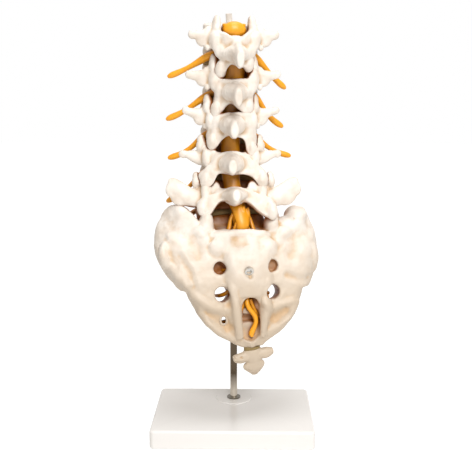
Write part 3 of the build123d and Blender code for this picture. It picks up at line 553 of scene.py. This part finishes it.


# Painted shade: the bones, sac and nerves turn brown deep inside, where the pieces round them close off the
# light.
# How much of what a point sees is closed off by the pieces round it is found with rays on a coarse copy of
# each piece.
def mark_painted_shade(pieces, spacing, reach, rays_out=40):
    """Stores the closed share of the view on each piece."""
    coarse = []
    for piece in pieces:
        twin = piece.copy()
        twin.data = piece.data.copy()
        bpy.context.scene.collection.objects.link(twin)
        reshape(twin, "REMESH", mode="VOXEL", voxel_size=spacing)
        coarse.append(twin)
    corners, faces = [], []
    for twin in coarse:
        faces += [[len(corners) + index for index in face.vertices] for face in twin.data.polygons]
        corners += [vertex.co.copy() for vertex in twin.data.vertices]
    wall = BVHTree.FromPolygons(corners, faces)
    rays = []
    for step in range(rays_out):
        height = 1 - (2 * step + 1) / rays_out
        angle = step * math.pi * (3 - math.sqrt(5))
        ring = math.sqrt(1 - height * height)
        rays.append(Vector((ring * math.cos(angle), ring * math.sin(angle), height)))
    for piece, twin in zip(pieces, coarse):
        near = KDTree(len(twin.data.vertices))
        closed = np.zeros(len(twin.data.vertices))
        for vertex in twin.data.vertices:
            near.insert(vertex.co, vertex.index)
            facing = vertex.normal
            start = vertex.co + facing * 0.6 * spacing
            views = [ray for ray in rays if ray.dot(facing) > 0.2]
            hits = sum(wall.ray_cast(start, ray, reach)[0] is not None for ray in views)
            closed[vertex.index] = hits / len(views)
        near.balance()
        values = np.array([closed[near.find(vertex.co)[1]] for vertex in piece.data.vertices])
        ends = edge_ends(piece.data)
        for _ in range(6):
            values = soften(values, *ends)
        stored = piece.data.attributes.new("depth", "FLOAT", "POINT")
        stored.data.foreach_set("value", values)
    for twin in coarse:
        bpy.data.objects.remove(twin)


shaded_pieces = [
    piece for piece in bpy.context.scene.objects
    if piece.data and piece.data.materials[:1] in ([vinyl], [soft])
]
mark_painted_shade(shaded_pieces, spacing=2.0 * mm, reach=30 * mm)


# Studio: a pale floor, a large soft lamp above and behind the camera, a second one overhead, and an even
# white surround. Camera, gloss and glass see floor and surround as white, and the floor keeps the shadow.
floor_share = 0.75
floor_glow = 1.32
bpy.ops.mesh.primitive_plane_add(size=8.0, location=(0, 0, 0))
floor = bpy.context.object
floor.name = "floor"
paper, shader, place = new_material("white paper", "#F2F2F1", 0.9)
rays = add_node(paper, "ShaderNodeLightPath").outputs
seen = add_node(paper, "ShaderNodeMath", {}, {0: rays["Is Camera Ray"], 1: rays["Is Glossy Ray"]},
                operation="MAXIMUM")
seen = add_node(paper, "ShaderNodeMath", {}, {0: seen.outputs[0], 1: rays["Is Transmission Ray"]},
                operation="MAXIMUM")
share = add_node(paper, "ShaderNodeMath", {1: floor_share}, {0: seen.outputs[0]}, operation="MULTIPLY")
glow = add_node(paper, "ShaderNodeEmission", {"Color": (1, 1, 1, 1), "Strength": floor_glow})
both = add_node(paper, "ShaderNodeMixShader", {},
                {0: share.outputs[0], 1: shader.outputs[0], 2: glow.outputs[0]})
output = paper.node_tree.nodes["Material Output"]
paper.node_tree.links.new(both.outputs[0], output.inputs["Surface"])
floor.data.materials.append(paper)

world = bpy.data.worlds.new("studio")
bpy.context.scene.world = world
world.use_nodes = True
surround = world.node_tree.nodes["Background"]
surround.inputs["Color"].default_value = linear("#FFF1DE")
surround.inputs["Strength"].default_value = 0.28
rays = add_node(world, "ShaderNodeLightPath").outputs
seen = add_node(world, "ShaderNodeMath", {}, {0: rays["Is Camera Ray"], 1: rays["Is Glossy Ray"]},
                operation="MAXIMUM")
seen = add_node(world, "ShaderNodeMath", {}, {0: seen.outputs[0], 1: rays["Is Transmission Ray"]},
                operation="MAXIMUM")
backdrop = add_node(world, "ShaderNodeBackground", {"Color": (1, 1, 1, 1), "Strength": 1.0})
both = add_node(world, "ShaderNodeMixShader", {},
                {0: seen.outputs[0], 1: surround.outputs[0], 2: backdrop.outputs[0]})
world.node_tree.links.new(both.outputs[0], world.node_tree.nodes["World Output"].inputs["Surface"])

subject = Vector((0.0, 0.02, 0.2))
for name, spot, size, power in (
    ("key lamp", (0.32, -1.15, 1.05), 0.6, 17.0),
    ("top lamp", (0.15, -0.1, 1.75), 0.8, 12.0),
):
    bpy.ops.object.light_add(type="AREA", location=spot)
    lamp = bpy.context.object
    lamp.name = name
    lamp.data.size = size
    lamp.data.energy = power
    lamp.rotation_euler = (subject - Vector(spot)).to_track_quat("-Z", "Y").to_euler()

bpy.ops.object.camera_add(
    location=(0.0118, -0.60877, 0.27075),
    rotation=(math.radians(90 - 10.16), 0, math.radians(0.89)),
)
camera = bpy.context.object
camera.data.sensor_width = 36.0
camera.data.lens = 58.73
bpy.context.scene.camera = camera
bpy.context.scene.view_settings.view_transform = "Standard"
